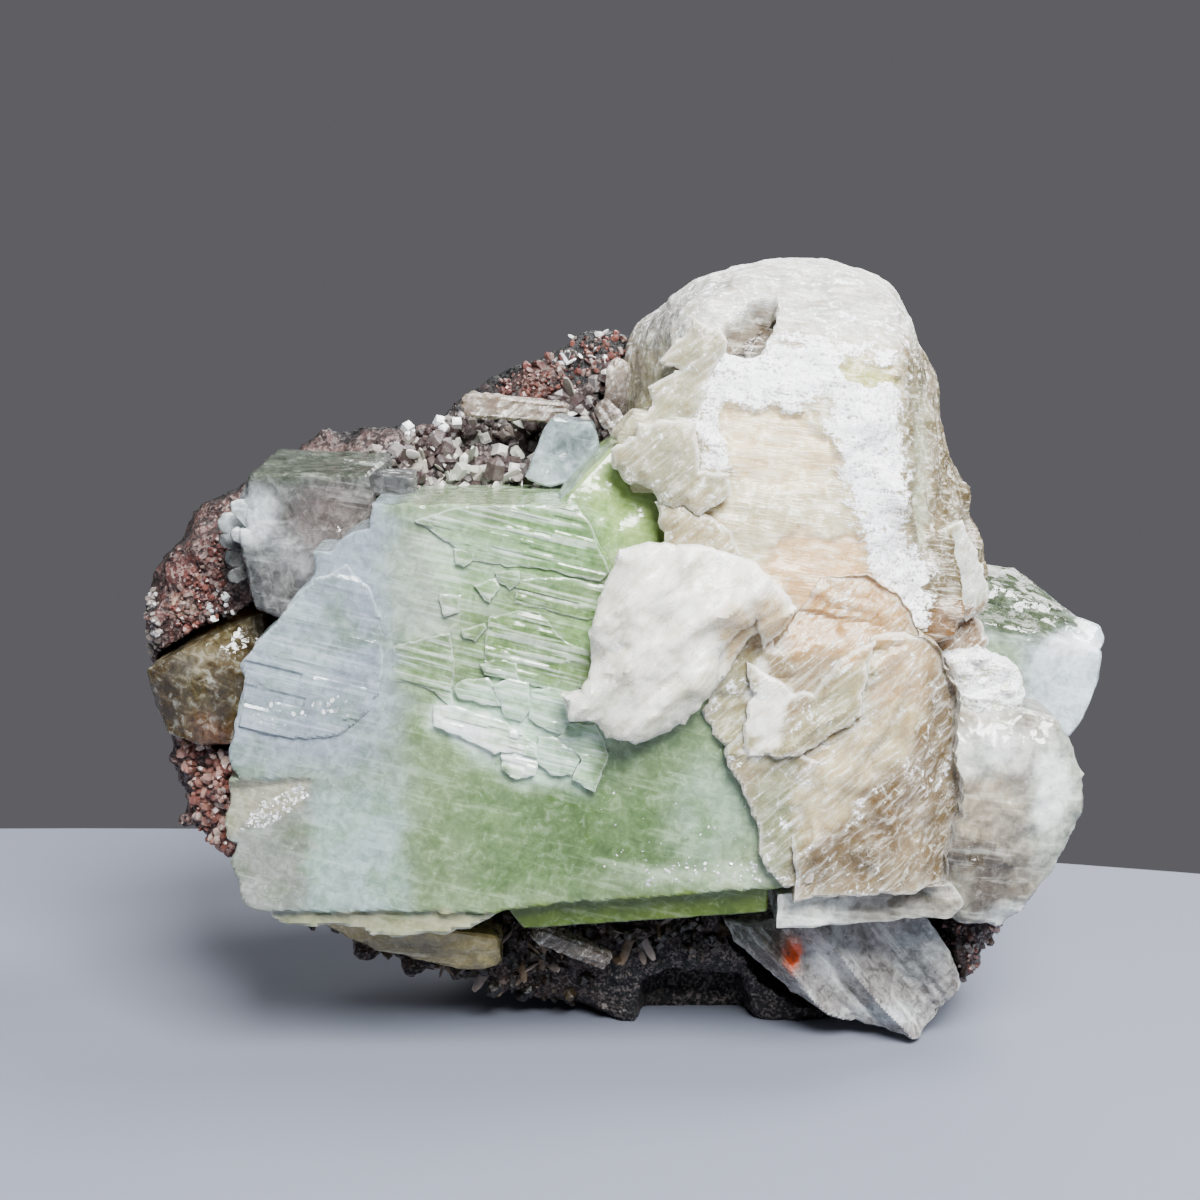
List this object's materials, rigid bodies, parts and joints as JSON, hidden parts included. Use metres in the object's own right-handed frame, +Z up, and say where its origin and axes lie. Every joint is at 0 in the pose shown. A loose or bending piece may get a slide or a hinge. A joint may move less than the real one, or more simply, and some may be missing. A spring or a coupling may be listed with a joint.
{
  "type": "apophyllite cluster",
  "caption": "Mineral specimen: a stepped block of pale green apophyllite beside a domed cream stilbite sheaf and fan, grown on a broken piece of dark basalt.",
  "frame": {"origin": "centre of the bounding box in x and y, on the surface that the specimen rests on", "axes": "+X to the right and +Z up for someone who faces the crystals, which face -Y; the long way of the specimen is X and its depth is Y"},
  "size_m": [0.1084, 0.059, 0.0851],
  "materials": {
    "basalt": "rough broken basalt with a red-brown, druse-covered vug wall",
    "green_apophyllite": "translucent, glassy to pearly cleavage faces",
    "clear_apophyllite": "clear to cloudy, glassy faces",
    "smoky_apophyllite": "clear, golden brown, glassy",
    "stilbite": "cream to peach, pearly blades with chalky white skin",
    "stilbite_rod": "pale, translucent, satin"
  },
  "bodies": {
    "root": {"basalt_matrix": "basalt", "green_apophyllite_block": "green_apophyllite", "clear_apophyllite_upper_left": "clear_apophyllite", "smoky_apophyllite_left": "smoky_apophyllite", "small_clear_apophyllite": "clear_apophyllite", "stilbite_sheaf": "stilbite", "stilbite_front_blade": "stilbite", "stilbite_lower_fan": "stilbite", "right_apophyllite": "green_apophyllite", "lower_right_apophyllite": "clear_apophyllite", "clear_blade_crystal": "clear_apophyllite", "pale_crystal_under_block": "clear_apophyllite", "rim_stilbite_rod": "stilbite_rod", "upper_rim_rod": "stilbite_rod", "lower_rim_rod": "stilbite_rod", "rod_under_block": "stilbite_rod"}
  },
  "joints": []
}
